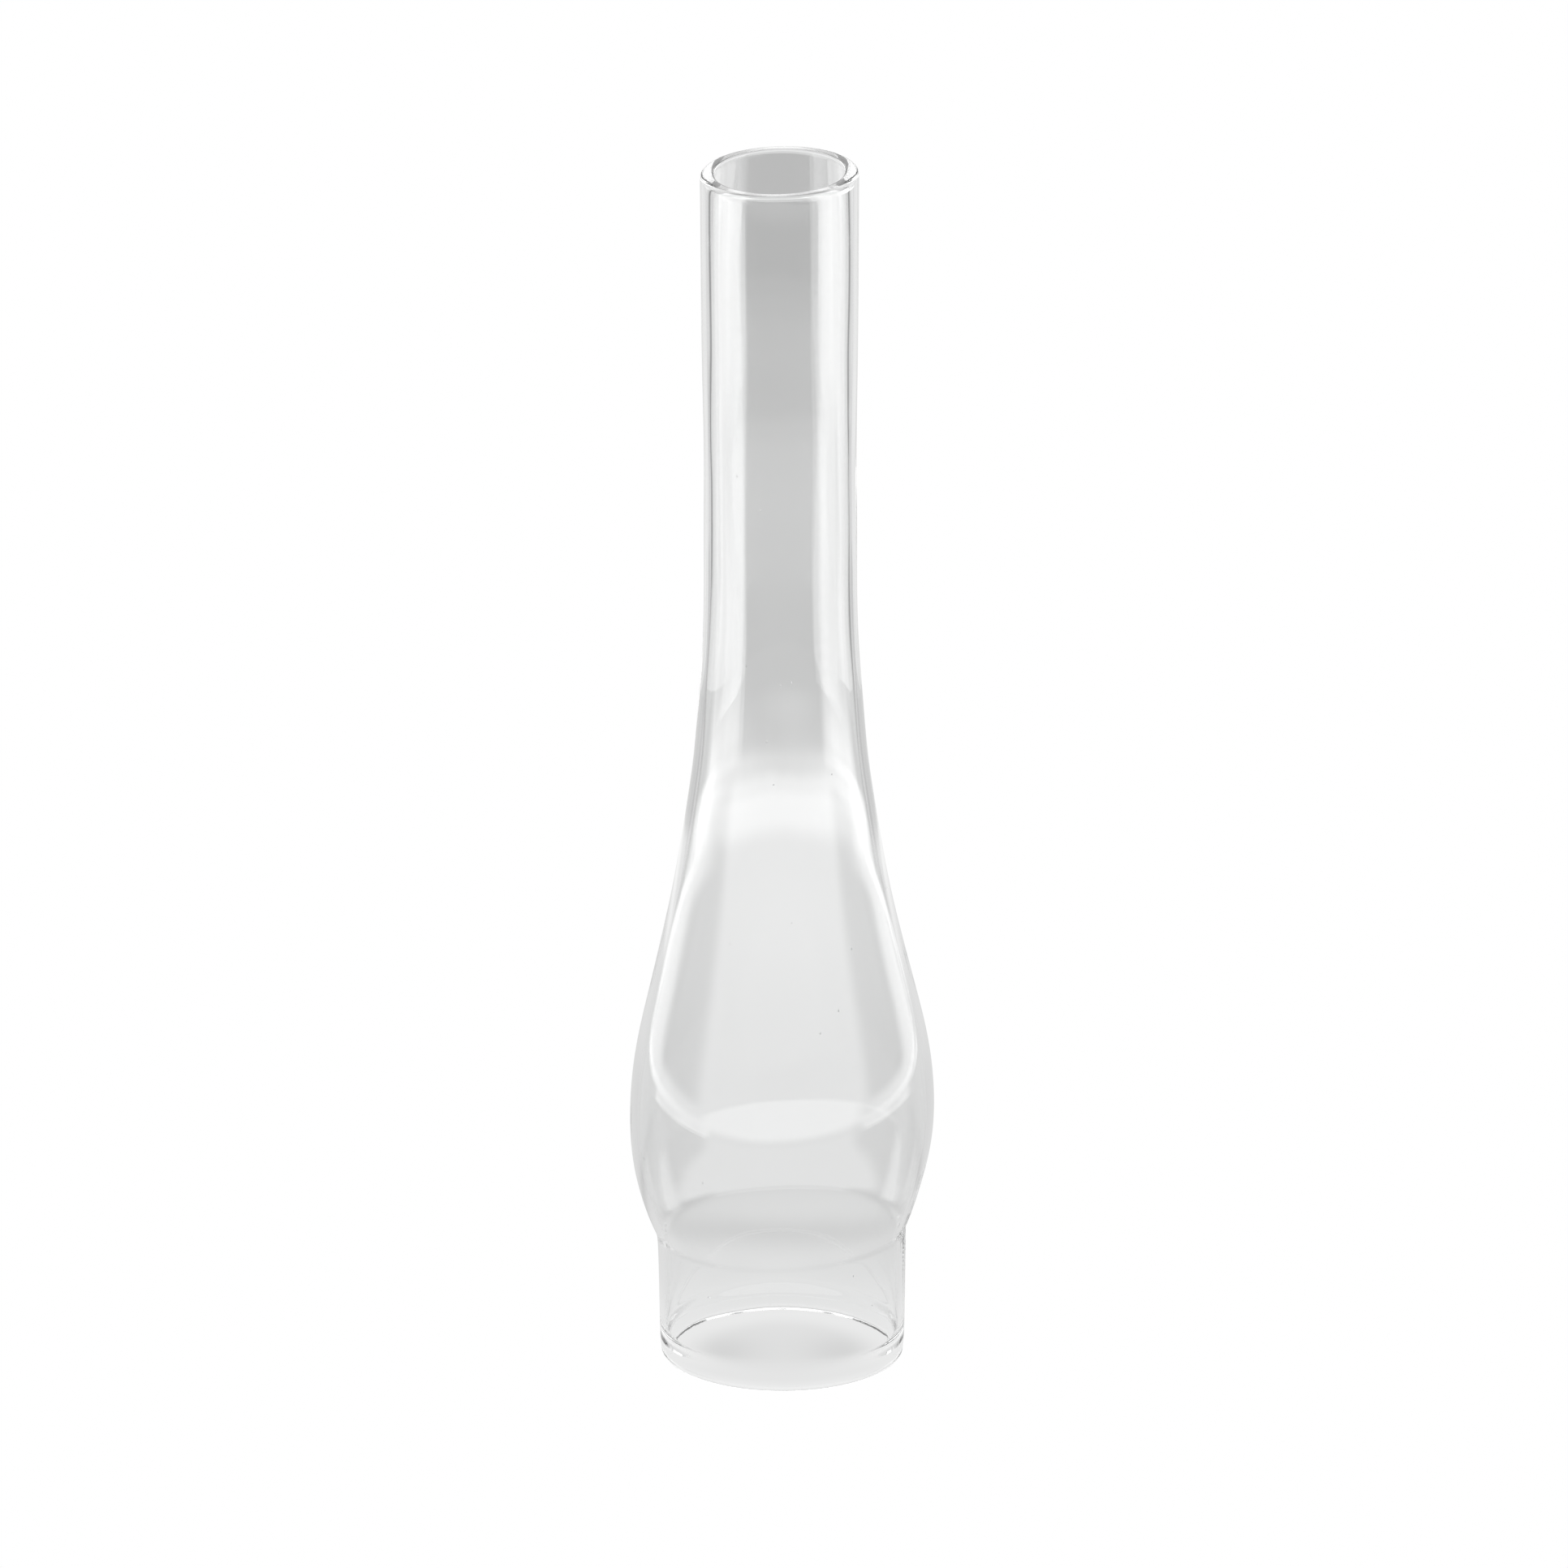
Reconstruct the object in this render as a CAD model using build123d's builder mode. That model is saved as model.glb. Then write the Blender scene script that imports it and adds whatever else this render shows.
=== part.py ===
"""A clear glass lamp chimney: one piece of blown glass, open at both ends.

From the foot upwards it is a straight collar that stands in the burner's gallery, a sharp
crease, a swollen belly round the flame, a long draw up to a narrow flue, and a melted lip.
The frame is +Z up, with the origin on the axis at the rim that the glass stands on.
"""
from build123d import *
from math import cos, radians, sin
import os

os.makedirs("parts", exist_ok=True)

# Driving dimensions, in millimetres and degrees.
total_height = 270.6

foot_radius = 26.5  # outside of the collar, which suits a 53 mm gallery
foot_height = 27.5  # from the seat up to the crease
foot_wall = 1.6

seat_ring = 1.2  # the melted foot rim is a thicker band of glass, rounded to this radius
seat_throat = 1.8  # straight inside of that band, the narrowest way into the collar
seat_land = 0.5  # half the width of the flat that the rim stands on
seat_blend = 5.0  # hollow between the foot rim and the collar's bore

belly_radius = 32.85  # the widest ring, level with the flame
belly_height = 55.5
belly_wall = 1.5  # glass is thinnest where it was blown furthest
shoulder_radius = 92.0  # the round of the belly above its widest ring

draw_lean = 13.0  # how far the cone above the belly leans from upright
draw_radius = 359.0  # the long hollow curve from the cone into the flue

flue_radius = 16.45  # outside of the flue where the draw ends
flue_wall = 1.7
flue_flare = 0.6  # the outside opens by this much on its way up to the lip
flue_swell = 0.9  # and the bore closes by this much, as the glass gathers there

lip_ring = 1.75  # the melted lip is a thick round ring of glass
lip_blend = 9.0  # hollow between the lip and the flue's bore

# Places worked out from them.
foot_bore = foot_radius - foot_wall
belly_bore = belly_radius - belly_wall
flue_bore = flue_radius - flue_wall
seat_level = (seat_ring**2 - seat_land**2) ** 0.5
lip_level = total_height - lip_ring
flue_top = (flue_radius + flue_flare, lip_level)
bore_top = (flue_bore - flue_swell, lip_level)


def wall_line(foot, widest, narrowest, shoulder, top):
    """One side of the wall from the foot rim to the lip. Returns where its draw ends."""
    Line((foot, seat_level), (foot, foot_height))
    TangentArc((widest, belly_height), (foot, foot_height), tangent=(0, -1))
    turned = (shoulder + draw_radius) * (1 - cos(radians(draw_lean)))
    slant = (widest - narrowest - turned) / sin(radians(draw_lean))
    round_above = JernArc((widest, belly_height), (0, 1), shoulder, draw_lean)
    cone = PolarLine(round_above @ 1, slant, 90 + draw_lean)
    hollow = JernArc(cone @ 1, cone % 1, draw_radius, -draw_lean)
    Line(hollow @ 1, top)
    return hollow @ 1


with BuildPart() as chimney:
    with BuildSketch(Plane.XZ) as wall:
        with BuildLine():
            outer_draw = wall_line(foot_radius, belly_radius, flue_radius, shoulder_radius, flue_top)
            inner_draw = wall_line(
                foot_bore, belly_bore, flue_bore, shoulder_radius - belly_wall, bore_top
            )
            Line((foot_bore, seat_level), (foot_radius, seat_level))
            Line(flue_top, bore_top)
        make_face()
        # The two melted rims, each flush with the outside and swollen into the bore.
        with Locations((foot_radius - seat_ring, seat_level + seat_throat / 2)):
            SlotCenterToCenter(seat_throat, 2 * seat_ring, rotation=90)
        with Locations((flue_top[0] - lip_ring, lip_level)):
            Circle(lip_ring)
        seat_top = seat_level + seat_throat
        for low, high, blend in (
            (seat_top, seat_top + seat_ring, seat_blend),
            (lip_level - lip_ring, lip_level, lip_blend),
        ):
            corners = wall.vertices().filter_by_position(
                Axis.Y, low, high, inclusive=(False, False)
            )
            fillet(corners.sort_by(Axis.X)[0], blend)
        # The flat that it stands on.
        with Locations((foot_radius - seat_ring, 0)):
            Rectangle(
                4 * seat_ring, 2 * seat_ring, align=(Align.CENTER, Align.MAX), mode=Mode.SUBTRACT
            )
    revolve(axis=Axis.Z)

chimney.part.label = "chimney"
export_step(chimney.part, "parts/chimney.step")

print(f"draw ends at {outer_draw.Y:.1f} mm outside and {inner_draw.Y:.1f} mm inside")
print(f"glass {chimney.part.volume / 1000:.1f} cm3, height {chimney.part.bounding_box().size.Z:.2f} mm")
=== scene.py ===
# %% [markdown]
# # A blown glass lamp chimney
#
# This lesson makes one thing: the clear glass chimney that stands round the flame of an
# oil lamp. It is a single piece of blown glass, open at both ends. From the table up it is
# a straight collar, a crease, a swollen belly, a long draw and a narrow flue with a melted lip.
#
# Clear glass is a good teacher. It has no colour of its own, so it can't be painted into
# looking right. What we see in it is its surroundings, bent and mirrored by its walls.
# So the lesson has two halves: getting the walls right, and building a studio for them to show.
#
# The engineering model is loaded first. It is the ruler for everything that follows: it is in
# metres, it stands on the table at height zero, and its axis is the world's Z axis.

# %% Load the engineering model
import math

import bpy
import numpy as np
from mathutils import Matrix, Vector


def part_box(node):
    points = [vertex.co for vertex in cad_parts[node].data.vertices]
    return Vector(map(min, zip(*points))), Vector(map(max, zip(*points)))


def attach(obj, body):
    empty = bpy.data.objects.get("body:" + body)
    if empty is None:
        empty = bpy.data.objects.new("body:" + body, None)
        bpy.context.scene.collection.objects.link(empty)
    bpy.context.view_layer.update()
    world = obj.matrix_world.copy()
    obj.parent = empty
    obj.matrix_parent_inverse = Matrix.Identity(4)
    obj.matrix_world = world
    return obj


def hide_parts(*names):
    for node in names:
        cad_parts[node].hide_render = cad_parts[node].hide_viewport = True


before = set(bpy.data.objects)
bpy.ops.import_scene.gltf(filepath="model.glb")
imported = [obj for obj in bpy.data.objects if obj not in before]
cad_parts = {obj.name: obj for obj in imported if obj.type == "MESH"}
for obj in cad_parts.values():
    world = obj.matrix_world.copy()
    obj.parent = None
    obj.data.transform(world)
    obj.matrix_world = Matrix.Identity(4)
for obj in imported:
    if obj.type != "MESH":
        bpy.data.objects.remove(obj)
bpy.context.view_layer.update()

chimney_low, chimney_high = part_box("chimney")
METRE = 1000   # in millimetres
MM = 0.001     # in metres
print("chimney box in mm", [round(METRE * (h - l), 2) for l, h in zip(chimney_low, chimney_high)])

# %% [markdown]
# ## Sizes
#
# A glassblower thinks in millimetres, and so will we. The mesh is turned into metres once,
# when it is made. The overall height and the widest radius are read from the engineering
# model. The other sizes are the ones that a maker would check with calipers.
#
# A little room is kept inside the engineering model's box, because blown glass is never quite
# round and this lip isn't quite level. The finished glass mustn't stick out of the box anywhere.

# %% Caliper sizes, in millimetres and radians
oval_room = 0.06             # room for the glass to be out of round
head_room = 0.2              # room above the highest point of the lip
rim_tilt = 0.030             # the lip is a little out of square: its rise per mm across
narrowest = 16.45            # outside radius of the flue where the draw ends
flue_flare = 0.6             # and the flue opens by this much on its way up
collar_radius = 26.5         # outside radius of the straight foot
crease_height = 27.5
belly_height = 52.9          # level of the widest ring, averaged round the glass
shoulder_round = 109.4       # radius of the curve above the widest ring
draw_lean = math.radians(13)
draw_round = 359.0           # radius of the long hollow curve into the flue
belly_wall, flue_wall, collar_wall = 1.5, 1.7, 1.6
lip_round_out, lip_round_in = 1.1, 0.8
seat_round_out, seat_round_in = 1.2, 0.6

widest = METRE * (chimney_high[0] - chimney_low[0]) / 2 - oval_room
total_height = METRE * (chimney_high[2] - chimney_low[2])
top_height = total_height - rim_tilt * (narrowest + flue_flare) - head_room
print(f"widest radius {widest:.2f} mm, height {total_height:.1f} mm")
print(f"mean height of the lip {top_height:.2f} mm")

# %% [markdown]
# ## Small shaping helpers
#
# A blown wall has no sharp changes. Three little functions do all the softening:
# `swell` is a smooth hump, `ease` is a slope that starts and ends level, and `joined` takes the
# larger of two curves but rounds the corner where they cross, as hot glass does.

# %% Humps, slopes and soft corners
def swell(height, centre, reach):
    """A hump of 1 at centre that dies away over about reach."""
    return np.exp(-((height - centre) / reach) ** 2)


def ease(t):
    """0 below 0, 1 above 1, and a soft slope between."""
    t = np.clip(t, 0, 1)
    return t * t * (3 - 2 * t)


def joined(a, b, corner):
    """The larger of a and b, with a rounded corner where they cross."""
    return 0.5 * (a + b + np.sqrt((a - b) ** 2 + corner * corner))


print("where two curves cross, a corner of 1 mm lifts the wall by", joined(0, 0, 1), "mm")

# %% [markdown]
# ## The drawn line
#
# Seen from the side, the glass above the collar is four curves end to end: the underside of the
# belly, the shoulder, a straight cone, and the long hollow draw. Each one is tangent to the next.
# It could be drawn with a Bezier curve and a Screw modifier, but then nobody could say what its
# radii are. Writing the arcs as circles keeps every radius a number that can be changed.
#
# `relaxed` then averages the line over a few millimetres, because hot glass sags across a joint
# between two arcs and never shows where one ends.

# %% The four arcs above the collar
def drawn_line(height, wide, narrow, shoulder, collar):
    """Radius of one side of the wall at each height, above the collar."""
    turned = (shoulder + draw_round) * (1 - math.cos(draw_lean))
    slant = (wide - narrow - turned) / math.sin(draw_lean)
    cone_start = belly_height + shoulder * math.sin(draw_lean)
    cone_radius = wide - shoulder * (1 - math.cos(draw_lean))
    cone_end = cone_start + slant * math.cos(draw_lean)
    draw_end = cone_end + draw_round * math.sin(draw_lean)
    rise, spread = belly_height - crease_height, wide - collar
    under = (rise * rise + spread * spread) / (2 * spread)
    drop, climb = belly_height - height, height - belly_height
    underside = wide - under + np.sqrt(np.maximum(under**2 - drop**2, 0))
    round_above = wide - shoulder + np.sqrt(np.maximum(shoulder**2 - climb**2, 0))
    cone = cone_radius - (height - cone_start) * math.tan(draw_lean)
    sunk = np.maximum(draw_round**2 - (draw_end - height) ** 2, 0)
    hollow = narrow + draw_round - np.sqrt(sunk)
    return np.select(
        [height < belly_height, height < cone_start, height < cone_end, height < draw_end],
        [underside, round_above, cone, hollow], narrow)


outer_line = (widest, narrowest, shoulder_round, collar_radius)
inner_line = (widest - belly_wall, narrowest - flue_wall,
              shoulder_round - belly_wall, collar_radius - collar_wall)
print("cone radius at 110 mm", round(float(drawn_line(np.array([110.0]), *outer_line)[0]), 2))

# %% [markdown]
# ## What the blower's hands left
#
# The tools and the breath leave slow swells in the draw. They are only a quarter of a millimetre
# high, but the bright lines in the glass bend at each of them. They are added to both sides of
# the wall alike, since the whole soft wall moves when it is touched.

# %% The line relaxed, and the marks of the hand
relax_length = 4.0                      # mm over which hot glass evens out
hand_swells = [                         # height, reach and depth in mm
    (151, 11, 0.20), (123, 10, 0.24), (208, 16, -0.24), (55.5, 20, 0.06)]
flare_start, flare_length = 178, 90     # the flue opens slowly over this part


def relaxed(height, line):
    """The drawn line averaged over the relax length either way."""
    steps = np.linspace(-3, 3, 25)
    weights = np.exp(-steps * steps / 2)
    return sum(w * drawn_line(height + relax_length * s, *line)
               for w, s in zip(weights / weights.sum(), steps))


def hand_marks(height):
    """Slow swells that the blower's tools and breath left in the draw, and the flue's flare."""
    swells = sum(depth * swell(height, centre, reach) for centre, reach, depth in hand_swells)
    return swells + flue_flare * np.clip((height - flare_start) / flare_length, 0, 1)


print("hand marks at 123 mm", round(float(hand_marks(123.0)), 3), "mm")

# %% [markdown]
# ## Outside and inside
#
# The two sides of the wall aren't parallel, and in glass that matters more than the outline
# does. The wall acts as a lens: a thin dark line runs up the flue exactly where the bore begins,
# so a wall that is too thick puts that line in the wrong place. The glass is thinnest round the
# belly, where it was blown furthest, and gathers towards the lip, where it was melted.
#
# The collar flares a little upwards. Its foot turns in, and its bore has a slightly
# narrower throat there. The crease between collar and belly is the sharpest corner on the
# glass, and it is rounder on the inside, where no tool could reach.

# %% Both sides of the wall
collar_limit = 50                           # the collar has no say above this height
collar_middle = 13                          # height at which the collar has its plain radius
collar_flare_out, collar_flare_in = 0.22, 0.2
foot_turn, foot_turn_height = 0.35, 6       # how far the foot turns in, and over what height
crease_corner_out, crease_corner_in = 0.42, 0.58
bore_widening = 0.05                        # the collar's bore is this much wider than plain
neck_gather, neck_start, neck_length = 0.55, 203, 28
lip_gather, gather_start, gather_length = 0.95, 236, 34
throat_depth, throat_height, throat_blend = 0.8, 2.4, 5.2


def outside(height):
    """Outer radius of the wall at each height."""
    above = relaxed(height, outer_line)
    above = above + hand_marks(height)
    flare = collar_flare_out * (height - collar_middle) / collar_middle
    turn_in = foot_turn * (1 - np.clip(height / foot_turn_height, 0, 1)) ** 2
    collar = collar_radius + flare - turn_in
    return np.where(height < collar_limit, joined(collar, above, crease_corner_out), above)


def inside(height):
    """Radius of the bore at each height."""
    above = relaxed(height, inner_line)
    above = above + hand_marks(height)
    neck = neck_gather * ease((height - neck_start) / neck_length)
    lip = lip_gather * np.clip((height - gather_start) / gather_length, 0, 1) ** 2
    above = above - neck - lip
    flare = collar_flare_in * (height - collar_middle) / collar_middle
    collar = collar_radius - collar_wall + bore_widening + flare
    wall = np.where(height < collar_limit, joined(collar, above, crease_corner_in), above)
    return wall - throat_depth * (1 - ease((height - throat_height) / throat_blend))


checked = np.array([5.0, 15.0, 40.0, 55.0, 120.0, 200.0, 260.0])
for h, o, i in zip(checked, outside(checked), inside(checked)):
    print(f"at {h:5.1f} mm: outside {o:5.2f}, bore {i:5.2f}, wall {o - i:4.2f}")

# %% [markdown]
# ## One closed section
#
# The section goes up the outside, over the lip, down the inside and round the foot, back to
# where it began. It has to be closed: glass is a solid, and a ray of light must always enter by
# one face and leave by another. The lip and the foot are short arcs, because both rims were
# melted in a flame until their cut edges ran round.
#
# Rings are close together at the crease and the rims, and further apart on the long draw.

# %% How high each ring lies
lip_start = top_height - lip_round_out
ring_zones = [  # from, to, how many rings: foot, collar, crease, belly and draw, flue
    (seat_round_out, 8, 14), (8, 24, 10), (24, 33, 26), (33, 178, 98), (178, 254, 34)]
below_lip, lip_rings = 254, 16
ring_heights = np.concatenate([
    *(np.linspace(low, high, count, endpoint=False) for low, high, count in ring_zones),
    np.linspace(below_lip, lip_start, lip_rings),
])
print("rings on each side", len(ring_heights))

# %% The section, point by point
def rim_arc(radius, height, bend, start, stop, count):
    """Points on a rim's rounded edge, from one angle to another in degrees."""
    t = np.radians(np.linspace(start, stop, count))
    return np.stack([radius + bend * np.cos(t), height + bend * np.sin(t)], 1)


ends = np.array([seat_round_out, lip_start])
(foot_out, lip_out), (foot_in, lip_in) = outside(ends), inside(ends)
lip_edge = np.concatenate([
    rim_arc(lip_out - lip_round_out, lip_start, lip_round_out, 4, 88, 11),
    rim_arc(lip_in + lip_round_in, top_height - lip_round_in, lip_round_in, 92, 176, 9),
])
foot_edge = np.concatenate([
    rim_arc(foot_in + seat_round_in, seat_round_in, seat_round_in, 180, 268, 8),
    rim_arc(foot_out - seat_round_out, seat_round_out, seat_round_out, 272, 354, 10),
])
falling = ring_heights[::-1]
section = np.concatenate([
    np.stack([outside(ring_heights), ring_heights], 1), lip_edge,
    np.stack([inside(falling), falling], 1), foot_edge,
])
bore_share = np.concatenate([  # 0 on the outside, 1 on the bore, and half on the two rims
    np.zeros(len(ring_heights)), np.full(len(lip_edge), 0.5),
    np.ones(len(ring_heights)), np.full(len(foot_edge), 0.5)])
print("points in the section", len(section), "lip wall", round(float(lip_out - lip_in), 2), "mm")

# %% [markdown]
# ## Not quite round
#
# A Screw modifier would sweep the section into a perfectly round solid, and perfectly round
# glass looks like plastic. Blown glass is oval by a few hundredths of a millimetre, and wavy by
# less than that, differently inside and outside. We can hardly see this in the outline, but every
# reflection wanders because of it. So the sweep is done here, with each point nudged as it is
# placed.
#
# The larger hand-made faults are put in by name: the crease runs downhill to one side, the belly
# hangs a little lower at front and back than at the sides, the axis wanders by half a
# millimetre, and the lip is out of square.

# %% Slow waves
def ripple(heights, turns, count, waves_round, waves_up, seed):
    """A few slow waves round and up the glass, the same on every run."""
    pick = np.random.RandomState(seed)
    total = np.zeros((len(heights), len(turns)))
    for _ in range(count):
        around = pick.randint(waves_round[0], waves_round[1] + 1)
        up = pick.uniform(*waves_up) * pick.choice([-1, 1])
        start = pick.uniform(0, 2 * math.pi)
        wave = np.cos(around * turns[None, :] + 2 * math.pi * heights * up + start)
        total += wave / count**0.5
    return total


sides = 160
turns = np.linspace(0, 2 * math.pi, sides, endpoint=False)
radius, level = section[:, :1], section[:, 1:]
bore = bore_share[:, None]
oval_size, wave_size = 0.05, 0.02           # mm
wave_plan = (6, (3, 9), (0, 0.02))          # how many, waves round, waves per mm up
wavy = radius + oval_size * ripple(level, turns, 3, (2, 2), (0, 0.004), 1)
wavy = wavy + wave_size * ripple(level, turns, *wave_plan, 2) * (1 - bore)
wavy = wavy + wave_size * ripple(level, turns, *wave_plan, 3) * bore
print("out of round by up to", round(float(np.ptp(wavy - radius)), 3), "mm")

# %% The larger faults of the hand
belly_sag, sag_level, sag_reach = 2.0, 52, 22
sag_start, sag_blend = 24, 16               # the sag fades in above the collar
crease_tilt, tilt_reach, tilt_blend = 0.036, 14, 12
rim_tilt_start, rim_tilt_length = 240, 30
axis_lean, lean_height = 0.6, 270           # the axis leans this far over this height
belly_shift, shift_level, shift_reach = 0.30, 75, 22
waist_shift, waist_level, waist_reach = 0.42, 40, 11


def by_hand(radius, turn, height):
    """Where a point of the perfect glass really ends up, with the larger faults. All in mm."""
    across, deep = radius * np.cos(turn), radius * np.sin(turn)
    sag = belly_sag * np.cos(2 * turn) * swell(height, sag_level, sag_reach)
    height = height + sag * ease((height - sag_start) / sag_blend)
    tilt = crease_tilt * across * swell(height, crease_height, tilt_reach)
    height = height + tilt * np.clip(height / tilt_blend, 0, 1)
    near_rim = np.clip((height - rim_tilt_start) / rim_tilt_length, 0, 1)
    height = height + rim_tilt * across * near_rim**2
    across = (across - axis_lean * height / lean_height
              + belly_shift * swell(height, shift_level, shift_reach)
              - waist_shift * swell(height, waist_level, waist_reach))
    return np.stack([across, deep, height], -1)


wall_points = by_hand(wavy, turns[None, :], level + np.zeros((1, sides))).reshape(-1, 3)
print("points on the wall", len(wall_points))

# %% [markdown]
# ## Seeds
#
# A seed is a small bubble of gas that was trapped in the melt. When the glass is drawn out the
# seed is drawn with it, so it ends as a tiny grain, longer than it is wide. Few people ever
# notice them, but a wall with none looks like acrylic.
#
# Each seed is a real hole: a little closed shell inside the wall, with its faces turned towards
# the gas. They could be faked with a speckled texture, but a texture wouldn't bend the light.

# %% Where the seeds are
upright, lying = True, False
seed_list = [  # degrees round from the front towards the right, height, length, stands upright
    (-15.5, 198.3, 0.55, upright), (-26.7, 162.7, 0.50, upright), (0.0, 158.9, 0.50, upright),
    (8.3, 159.5, 0.55, upright), (-10.0, 146.3, 0.65, upright), (37.7, 99.7, 0.55, upright),
    (26.3, 87.5, 0.60, upright), (16.7, 83.4, 0.55, upright), (-36.6, 20.6, 1.00, lying)]
scattered = 16                              # and these many more, anywhere on the glass
scatter_levels, scatter_lengths = (12, 240), (0.3, 0.55)
scatter = np.random.RandomState(11)
for _ in range(scattered):
    seed_list.append((scatter.uniform(-180, 180), scatter.uniform(*scatter_levels),
                      scatter.uniform(*scatter_lengths), upright))
print("seeds", len(seed_list))

# %% Little shells in the thickness of the wall
seed_rows, seed_sides = 6, 8
seed_half_width, seed_half_depth = 0.13, 0.11   # mm


def seed_shell(turn_degrees, level, length, stands):
    """Points of one seed: one tip, the rings between, and the other tip, in mm."""
    turn = math.radians(turn_degrees - 90)
    middle = float(outside(np.array([level]))[0] + inside(np.array([level]))[0]) / 2
    higher, lower = outside(np.array([level + 0.5]))[0], outside(np.array([level - 0.5]))[0]
    leans = float(higher - lower)

    def grain(lengthways, girth, around):
        far = lengthways * length / 2
        wide = seed_half_width * girth * math.sin(around)
        out = seed_half_depth * girth * math.cos(around)
        up, sideways = (far, wide) if stands else (-wide, far)
        return by_hand(middle + out + leans * up, turn + sideways / middle, level + up)

    rings = [grain(lengthways, math.sqrt(1 - lengthways**2), around)
             for lengthways in np.cos(np.pi * np.arange(1, seed_rows) / seed_rows)[::-1]
             for around in 2 * np.pi * np.arange(seed_sides) / seed_sides]
    return np.array([grain(-1, 0, 0), *rings, grain(1, 0, 0)])


seed_points = [seed_shell(*seed) for seed in seed_list]
print("points in each seed", len(seed_points[0]))

# %% Faces of a seed
def seed_faces(first):
    """Faces of one seed, turned towards its gas."""
    faces = []
    last = first + 1 + (seed_rows - 1) * seed_sides
    for k in range(seed_sides):
        k_next = (k + 1) % seed_sides
        faces.append((first, first + 1 + k, first + 1 + k_next))
        for row in range(seed_rows - 2):
            low, high = first + 1 + row * seed_sides, first + 1 + (row + 1) * seed_sides
            faces.append((low + k, high + k, high + k_next, low + k_next))
        top = last - seed_sides
        faces.append((top + k, last, top + k_next))
    return faces


print("faces in each seed", len(seed_faces(0)))

# %% [markdown]
# ## The mesh
#
# The points make one grid that closes both ways, round the axis and round the section, so every
# face is a four-sided one and there are no poles, caps or seams. Smooth shading is enough for
# the rest: the rings are close enough that no facet shows, even in the thin lines of the lip.

# %% Grid of faces
rows = len(section)
i = np.arange(rows)[:, None]
j = np.arange(sides)[None, :]
i_next, j_next = (i + 1) % rows, (j + 1) % sides
corners = (i * sides + j, i * sides + j_next, i_next * sides + j_next, i_next * sides + j)
faces = np.stack(corners, 2).reshape(-1, 4).tolist()
for number, points in enumerate(seed_points):
    faces.extend(seed_faces(len(wall_points) + number * len(points)))
print("faces in the grid", rows * sides, "faces in the seeds", len(faces) - rows * sides)

# %% The glass as an object
all_points = np.concatenate([wall_points, *seed_points]) * MM
glass_mesh = bpy.data.meshes.new("chimney_glass")
glass_mesh.from_pydata(all_points.tolist(), [], faces)
glass_mesh.shade_smooth()
chimney_glass = bpy.data.objects.new("chimney_glass", glass_mesh)
bpy.context.scene.collection.objects.link(chimney_glass)
print("faces in the glass", len(glass_mesh.polygons), "mesh is sound", not glass_mesh.validate())

# %% [markdown]
# ## The glass itself
#
# The shader is a Principled BSDF with full transmission and an index of refraction of 1.5,
# which is soda glass. Both are plain numbers on the shader's own sockets.
#
# Two things vary over the surface, so they come from nodes. The bump is a very fine noise,
# stretched along the height, because glass keeps faint cords from being drawn out while hot:
# a fiftieth of a millimetre is already enough to make a reflection's edge waver. The roughness is
# zero nearly everywhere, with a few patches where handling has left a breath of film.

# %% Node helpers
def add(tree, kind, **values):
    """A new node with its properties set."""
    made = tree.nodes.new(kind)
    for key, value in values.items():
        setattr(made, key, value)
    return made


def feed(tree, source, target):
    """Links a socket, or sets a number, into a socket."""
    if isinstance(source, bpy.types.NodeSocket):
        tree.links.new(source, target)
    else:
        target.default_value = source


def clear_tree(owner):
    """The owner's node tree, switched on and emptied."""
    owner.use_nodes = True
    owner.node_tree.nodes.clear()
    return owner.node_tree


def mapped(tree, value, low, high, at_low, at_high, **kind):
    """The value, with low..high turned into at_low..at_high and nothing outside that."""
    made = add(tree, "ShaderNodeMapRange", **kind)
    feed(tree, value, made.inputs["Value"])
    limits = {"From Min": low, "From Max": high, "To Min": at_low, "To Max": at_high}
    for name, number in limits.items():
        made.inputs[name].default_value = number
    return made.outputs["Result"]


def noise(tree, place, scale, detail):
    """A soft noise over the place."""
    made = add(tree, "ShaderNodeTexNoise")
    made.inputs["Scale"].default_value = scale
    made.inputs["Detail"].default_value = detail
    feed(tree, place, made.inputs["Vector"])
    return made.outputs["Fac"]


print("node helpers ready")

# %% Clear glass
clear_glass = bpy.data.materials.new("clear_glass")
glass_tree = clear_tree(clear_glass)
glass_shader = add(glass_tree, "ShaderNodeBsdfPrincipled")
glass_shader.inputs["Transmission Weight"].default_value = 1.0
glass_shader.inputs["IOR"].default_value = 1.5
glass_shader.inputs["Base Color"].default_value = (0.993, 0.996, 0.995, 1)
glass_output = add(glass_tree, "ShaderNodeOutputMaterial")
feed(glass_tree, glass_shader.outputs["BSDF"], glass_output.inputs["Surface"])
chimney_glass.data.materials.append(clear_glass)
print("glass nodes so far", len(glass_tree.nodes))

# %% Cords drawn out along the glass
cords_across, cords_along = 220, 7          # how many to a metre
cord_depth = 0.02 * MM
place = add(glass_tree, "ShaderNodeTexCoord")
stretch = add(glass_tree, "ShaderNodeMapping")
stretch.inputs["Scale"].default_value = (cords_across, cords_across, cords_along)
feed(glass_tree, place.outputs["Object"], stretch.inputs["Vector"])
cord_bump = add(glass_tree, "ShaderNodeBump")
cord_bump.inputs["Strength"].default_value = 1.0
cord_bump.inputs["Distance"].default_value = cord_depth
cords = noise(glass_tree, stretch.outputs["Vector"], 1.0, 2.0)
feed(glass_tree, cords, cord_bump.inputs["Height"])
feed(glass_tree, cord_bump.outputs["Normal"], glass_shader.inputs["Normal"])
print("cords", cord_depth / MM, "mm deep")

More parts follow.
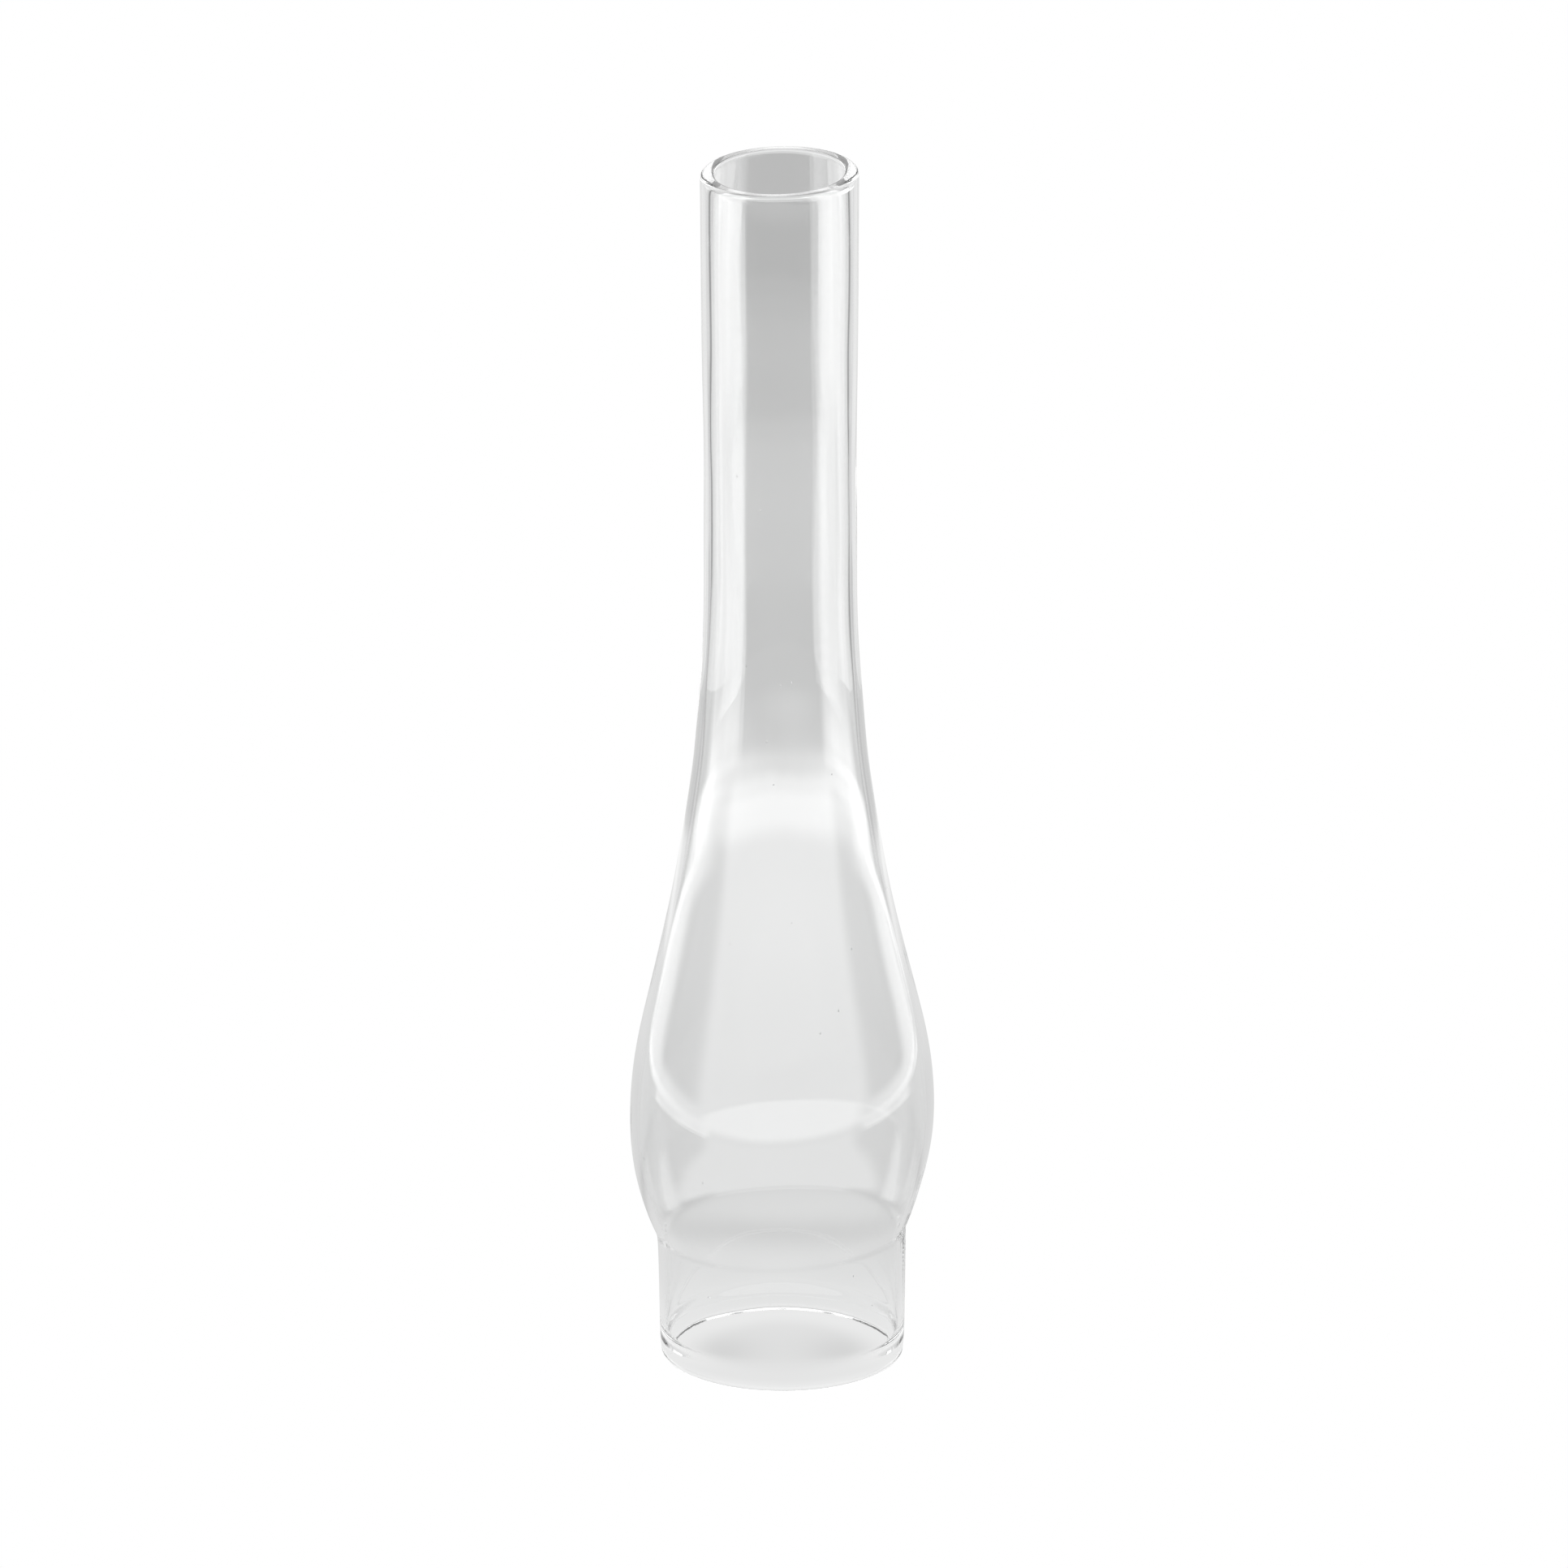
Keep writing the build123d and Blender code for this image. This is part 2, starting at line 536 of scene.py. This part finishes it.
# %% Patches of film
film_scale = 38.0                           # patches to a metre
film_start, film_full = 0.60, 0.80          # only the top of the noise becomes film
film_roughness = 0.02
film = noise(glass_tree, place.outputs["Object"], film_scale, 3.0)
film_depth = mapped(glass_tree, film, film_start, film_full, 0.0, film_roughness)
feed(glass_tree, film_depth, glass_shader.inputs["Roughness"])
print("glass nodes", len(glass_tree.nodes))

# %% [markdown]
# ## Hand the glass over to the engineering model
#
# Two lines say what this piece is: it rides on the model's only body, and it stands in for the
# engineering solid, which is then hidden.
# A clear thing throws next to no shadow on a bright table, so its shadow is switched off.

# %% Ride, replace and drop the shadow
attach(chimney_glass, "root")
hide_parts("chimney")
chimney_glass.visible_shadow = False
print("the glass rides on root and stands in for chimney")

# %% [markdown]
# ## Camera
#
# A long lens a long way off keeps the sides of the flue upright and makes the lip and the foot
# ellipses of nearly the same openness, so the eye can compare them. The camera looks down
# by about twenty degrees, far enough to see into the mouth. The lens length follows from how
# wide a strip should fill the frame.

# %% Camera
look_down = math.radians(20.3)
camera_distance = 8.0
frame_width = 0.337
sensor_width = 36
aim = Vector((0.00037, 0, 0.13035))
towards_camera = Vector((0, -math.cos(look_down), math.sin(look_down)))
camera_data = bpy.data.cameras.new("camera")
camera_data.sensor_width = sensor_width
camera_data.lens = sensor_width * camera_distance / frame_width
camera_data.clip_end = 60
camera = bpy.data.objects.new("camera", camera_data)
camera.location = aim + towards_camera * camera_distance
camera.rotation_mode = "QUATERNION"
camera.rotation_quaternion = (-towards_camera).to_track_quat("-Z", "Y")
bpy.context.scene.collection.objects.link(camera)
bpy.context.scene.camera = camera
print("lens", round(camera_data.lens), "mm")

# %% [markdown]
# ## A studio for glass
#
# Lamps alone make poor light for clear glass, because the glass only shows what stands round
# it. Glass is lit with large soft panels and cards, and their edges draw its shape. The whole
# set round the chimney is written here as a list of soft-edged panels on the world, each with
# its compass span, its height span and its brightness. A compass of 0 is straight towards
# the camera, and positive is to the right.
#
# Each panel has one job:
# - a dark card in front, low down, keeps the grey stripe up the middle of the flue grey;
# - a bright panel at each side, brighter still towards the front, makes the white stripes
#   beside it;
# - a narrow bright strip along the edge of the set makes the bright line that rings the belly;
# - the pale room above the set shows in the belly twice, once in its near side and once in its
#   far side, and where the two overlap is the pale patch low down;
# - a bright wall behind lights the flat top of the lip, which would be black without it;
# - two dark cards at the sides, above the table, make the soft streaks down the belly;
# - two thin dark cards behind draw the line where the bore begins, and a faint reflector beside
#   each keeps the glass next to that line from going dull.
#
# The open background is plain white, as bright as white can be. If the glass were surrounded by
# that same white it would vanish, so rays that have been through the glass see the grey set,
# while rays straight to the eye see white. The Light Path node tells the two apart.

# %% Maths nodes for the studio
def calc(tree, operation, *terms):
    """A maths node fed by sockets or numbers."""
    made = add(tree, "ShaderNodeMath", operation=operation)
    for socket, term in zip(made.inputs, terms):
        feed(tree, term, socket)
    return made.outputs[0]


def soft_edge(tree, value, centre, softness, rising):
    """0 to 1 across centre, or 1 to 0 if it isn't rising."""
    at_low, at_high = (0.0, 1.0) if rising else (1.0, 0.0)
    return mapped(tree, value, centre - softness / 2, centre + softness / 2, at_low, at_high,
                  interpolation_type="SMOOTHSTEP")


def between(tree, value, span, softness):
    """1 inside the span and 0 outside it, with an edge softness for each end."""
    return calc(tree, "MULTIPLY", soft_edge(tree, value, span[0], softness[0], True),
                soft_edge(tree, value, span[1], softness[1], False))


def eye_or_glass(tree, for_the_eye, for_the_glass):
    """One value for rays straight from the camera and another for rays that met the glass."""
    seen = add(tree, "ShaderNodeLightPath")
    choose = add(tree, "ShaderNodeMix", data_type="FLOAT")
    feed(tree, seen.outputs["Is Camera Ray"], choose.inputs["Factor"])
    feed(tree, for_the_glass, choose.inputs["A"])
    feed(tree, for_the_eye, choose.inputs["B"])
    return choose.outputs["Result"]


print("studio helpers ready")

# %% The panels round the glass
def on_both_sides(name, compass_span, height_span, compass_edges, height_edges, strength):
    """A panel on the right and its mirror image on the left, left one first."""
    (near, far), (near_edge, far_edge) = compass_span, compass_edges
    left_span, left_edges = (-far, -near), (far_edge, near_edge)
    return [(f"{name}, left", left_span, height_span, left_edges, height_edges, strength),
            (f"{name}, right", compass_span, height_span, compass_edges, height_edges, strength)]


set_grey = 0.64
panels = [
    # what it is, compass span, height span, compass edges, height edges, brightness
    ("dark card in front", (-57.5, 61), (-52, -11.8), (3, 12), (20, 2.4), -0.46),
    *on_both_sides("edge of the set", (60, 155), (-12.2, -10.8), (10, 10), (1, 1), 0.75),
    ("bright panel, left", (-113, -58.5), (-40, -12.2), (5, 3), (16, 2), 0.90),
    ("bright panel, right", (63, 113), (-40, -12.2), (12, 8), (16, 2), 0.90),
    ("its brighter half, left", (-88, -58.5), (-40, -12.2), (16, 3), (16, 2), 0.75),
    ("its brighter half, right", (63, 88), (-40, -12.2), (10, 16), (16, 2), 0.75),
    ("room above the set", (-140, 140), (-11.8, 90), (20, 20), (2.0, 3), 0.88),
    *on_both_sides("wall behind", (140, 181), (13, 27), (20, 1), (6, 6), 1.40),
    *on_both_sides("streak card", (68, 112), (-8.5, 8), (16, 14), (3, 8), -1.38),
    *on_both_sides("bore line card", (134, 139), (-60, 10), (3, 3), (10, 10), -0.40),
    *on_both_sides("back reflector", (146, 172), (-60, 0), (8, 8), (10, 10), 0.20),
]
print("panels", len(panels))

# %% The studio as a world
studio = bpy.data.worlds.new("studio")
studio_tree = clear_tree(studio)
direction = add(studio_tree, "ShaderNodeTexCoord")
parts = add(studio_tree, "ShaderNodeSeparateXYZ")
feed(studio_tree, direction.outputs["Generated"], parts.inputs[0])
to_front = calc(studio_tree, "MULTIPLY", parts.outputs["Y"], -1.0)
compass = calc(studio_tree, "DEGREES", calc(studio_tree, "ARCTAN2", parts.outputs["X"], to_front))
above = calc(studio_tree, "DEGREES", calc(studio_tree, "ARCSINE", parts.outputs["Z"]))
brightness = set_grey
for _, compass_span, height_span, compass_edges, height_edges, strength in panels:
    patch = calc(studio_tree, "MULTIPLY",
                 between(studio_tree, compass, compass_span, compass_edges),
                 between(studio_tree, above, height_span, height_edges))
    lit = calc(studio_tree, "MULTIPLY", patch, strength)
    brightness = calc(studio_tree, "ADD", brightness, lit)
background = add(studio_tree, "ShaderNodeBackground")
background.inputs["Color"].default_value = (1, 1, 1, 1)
feed(studio_tree, eye_or_glass(studio_tree, 1.0, brightness), background.inputs["Strength"])
studio_output = add(studio_tree, "ShaderNodeOutputWorld")
feed(studio_tree, background.outputs["Background"], studio_output.inputs["Surface"])
bpy.context.scene.world = studio
print("studio nodes", len(studio_tree.nodes))

# %% [markdown]
# ## The table
#
# The floor is a plain pale table. No lamp lights it: it glows with light painted on it. Straight
# to the eye it is white, like the room. Through the glass it is a glowing top of painted light
# and
# shade in three overlapping pieces, with open air past their edges:
# - a round piece under the glass, which ends 28 centimetres out, where the panels of the
#   studio take over;
# - a wider piece behind with a straight far edge. A painted strip of nearly white light runs
#   across it not far from that edge, and makes the pale band across the draw;
# - a narrow runner that goes on to a metre behind. The flue is seen against it, so its slow
#   changes of painted light and shade are the shading of the flue's middle stripe.
#
# Right under the chimney soft shade is painted on the table, with a painted ring of paler light
# just inside the foot, where the collar would gather some of the light that would have fallen in
# the middle.

# %% Table top
table_half = 6.0
table_drop = 0.2 * MM
table_corners = [(-table_half, -table_half, 0), (table_half, -table_half, 0),
                 (table_half, table_half, 0), (-table_half, table_half, 0)]
table_mesh = bpy.data.meshes.new("table")
table_mesh.from_pydata(table_corners, [], [(0, 1, 2, 3)])
table = bpy.data.objects.new("table", table_mesh)
table.location.z = -table_drop
bpy.context.scene.collection.objects.link(table)
print("table", 2 * table_half, "m across")

# %% Ramps of grey and soft spots
def graded(tree, value, stops):
    """A ramp of greys over the value. stops are (value, grey), lowest first."""
    first, last = stops[0][0], stops[-1][0]
    ramp = add(tree, "ShaderNodeValToRGB")
    ramp.color_ramp.interpolation = "EASE"
    marks = ramp.color_ramp.elements
    for at, grey in stops[1:-1]:
        marks.new((at - first) / (last - first)).color = (grey, grey, grey, 1)
    marks[0].color = (stops[0][1],) * 3 + (1,)
    marks[len(marks) - 1].color = (stops[-1][1],) * 3 + (1,)
    feed(tree, mapped(tree, value, first, last, 0.0, 1.0), ramp.inputs["Fac"])
    return ramp.outputs["Color"]


def soft_spot(tree, *distances_and_reaches):
    """1 at the middle of an oval spot, dying away outwards."""
    total = 0.0
    for distance, reach in distances_and_reaches:
        part = calc(tree, "DIVIDE", distance, reach)
        total = calc(tree, "ADD", total, calc(tree, "MULTIPLY", part, part))
    return calc(tree, "EXPONENT", calc(tree, "MULTIPLY", total, -1.0))


print("table helpers ready")

# %% Where a point lies on the table, in metres and degrees
table_painted_glow = bpy.data.materials.new("table_painted_glow")
table_tree = clear_tree(table_painted_glow)


def on_table(operation, *terms):
    """A maths node in the table's paint."""
    return calc(table_tree, operation, *terms)


spot = add(table_tree, "ShaderNodeNewGeometry")
spot_parts = add(table_tree, "ShaderNodeSeparateXYZ")
feed(table_tree, spot.outputs["Position"], spot_parts.inputs[0])
sideways, backwards = spot_parts.outputs["X"], spot_parts.outputs["Y"]
either_side = on_table("ABSOLUTE", sideways)
from_axis = on_table("SQRT", on_table(
    "ADD", on_table("MULTIPLY", sideways, sideways), on_table("MULTIPLY", backwards, backwards)))
forwards = on_table("MULTIPLY", backwards, -1.0)
bearing = on_table("ABSOLUTE", on_table("DEGREES", on_table("ARCTAN2", sideways, forwards)))
print("nodes that say where", len(table_tree.nodes))

# %% Light and shade painted on the table, as the glass sees it
# painted shade under the chimney, with a painted ring of paler light just inside the foot
near_light_and_shade = graded(table_tree, from_axis, [
    (0, 0.81), (0.014, 0.81), (0.022, 0.87), (0.035, 0.80), (0.06, 0.75), (0.20, 0.74),
    (0.30, 0.79)])
# painted light behind: a nearly white strip near the far edge, then the slow painted greys of the
# runner
far_light_and_shade = graded(table_tree, backwards, [
    (0.300, 0.80), (0.314, 0.81), (0.334, 0.94), (0.347, 0.94), (0.358, 0.86), (0.371, 0.70),
    (0.385, 0.65), (0.400, 0.64), (0.465, 0.65), (0.506, 0.68), (0.540, 0.69), (0.595, 0.68),
    (0.640, 0.65), (0.665, 0.61), (0.690, 0.58), (0.722, 0.56), (0.762, 0.53), (0.900, 0.53),
    (1.000, 0.57)])
far_light_at_start = 0.80                        # the far ramp of painted light counts from its own first grey
table_light_and_shade = on_table("ADD", near_light_and_shade, on_table("SUBTRACT", far_light_and_shade, far_light_at_start))

shade_start = 0.08                          # painted shade darkens the front of the table from round this radius
front_shade = graded(table_tree, bearing, [(0, 0.4), (100, 0.5), (128, 0.9), (180, 1.0)])
away = soft_edge(table_tree, from_axis, shade_start, shade_start, True)
shade = on_table("ADD", 1.0, on_table("MULTIPLY", away, on_table("SUBTRACT", front_shade, 1.0)))
table_light_and_shade = on_table("MULTIPLY", table_light_and_shade, shade)
print("nodes with the greys", len(table_tree.nodes))

# %% Soft spots of painted shade and painted light on the table
lobe_side = 0.0135                          # how far the lobes of painted shade are from the middle
pale_side, pale_back = 0.060, 0.372         # the patches of painted light: to the side, and behind
band_back = 0.0705                          # how far behind the middle the painted band of shade is
beside = on_table("SUBTRACT", either_side, lobe_side)
far_beside = on_table("SUBTRACT", either_side, pale_side)
far_back = on_table("SUBTRACT", backwards, pale_back)
past_foot = on_table("SUBTRACT", backwards, band_back)
for patch, depth in (
        # painted shade: two lobes and a shaded middle under the collar
        (soft_spot(table_tree, (beside, 0.0075), (backwards, 0.010)), -0.10),
        (soft_spot(table_tree, (from_axis, 0.021)), -0.07),
        # painted light: a pale patch either side of the white strip, which carries the pale band
        # to the walls
        (soft_spot(table_tree, (far_beside, 0.030), (far_back, 0.035)), 0.32),
        # a level band of painted shade behind the foot, seen at the height of the crease
        (soft_spot(table_tree, (past_foot, 0.0095)), -0.12)):
    table_light_and_shade = on_table("ADD", table_light_and_shade, on_table("MULTIPLY", patch, depth))
print("nodes with the spots", len(table_tree.nodes))

# %% Where the table ends
round_reach = 0.28                          # the round piece under the glass
back_start, back_end, back_half = 0.12, 0.43, 0.30
runner_bearing, runner_end = 174.5, 1.0
in_front = on_table("LESS_THAN", from_axis, round_reach)
in_depth = on_table("MULTIPLY", on_table("GREATER_THAN", backwards, back_start),
                    on_table("LESS_THAN", backwards, back_end))
behind = on_table("MULTIPLY", in_depth, on_table("LESS_THAN", either_side, back_half))
runner = on_table("MULTIPLY", on_table("GREATER_THAN", bearing, runner_bearing),
                  on_table("LESS_THAN", backwards, runner_end))
covered = on_table("MAXIMUM", in_front, on_table("MAXIMUM", behind, runner))
past_edge = on_table("SUBTRACT", 1.0, covered)
print("nodes with the edges", len(table_tree.nodes))

# %% The table's glow of painted light and shade
# the table glows: plain white straight to the eye, and its painted light and shade through the
# glass
glow = add(table_tree, "ShaderNodeEmission")
feed(table_tree, eye_or_glass(table_tree, 1.0, table_light_and_shade), glow.inputs["Strength"])
open_air = add(table_tree, "ShaderNodeBsdfTransparent")
table_or_air = add(table_tree, "ShaderNodeMixShader")
feed(table_tree, eye_or_glass(table_tree, 0.0, past_edge), table_or_air.inputs[0])
feed(table_tree, glow.outputs["Emission"], table_or_air.inputs[1])
feed(table_tree, open_air.outputs["BSDF"], table_or_air.inputs[2])
table_output = add(table_tree, "ShaderNodeOutputMaterial")
feed(table_tree, table_or_air.outputs["Shader"], table_output.inputs["Surface"])
table_mesh.materials.append(table_painted_glow)
print("table nodes", len(table_tree.nodes))

# %% [markdown]
# ## Enough bounces
#
# Light that enters the lip can run down inside the wall like water in a pipe, mirrored dozens of
# times before it gets out again. If the renderer gives up early, those rays come back black and
# the lip turns to ink. Eighty bounces is enough, and costs little because so few rays need them.
#
# The view transform is set to Standard, so that white stays white.

# %% Bounces and view
enough = 80
scene = bpy.context.scene
scene.view_settings.view_transform = "Standard"
scene.cycles.max_bounces = enough
scene.cycles.transmission_bounces = enough
scene.cycles.glossy_bounces = enough
print("bounces", scene.cycles.max_bounces, "view", scene.view_settings.view_transform)
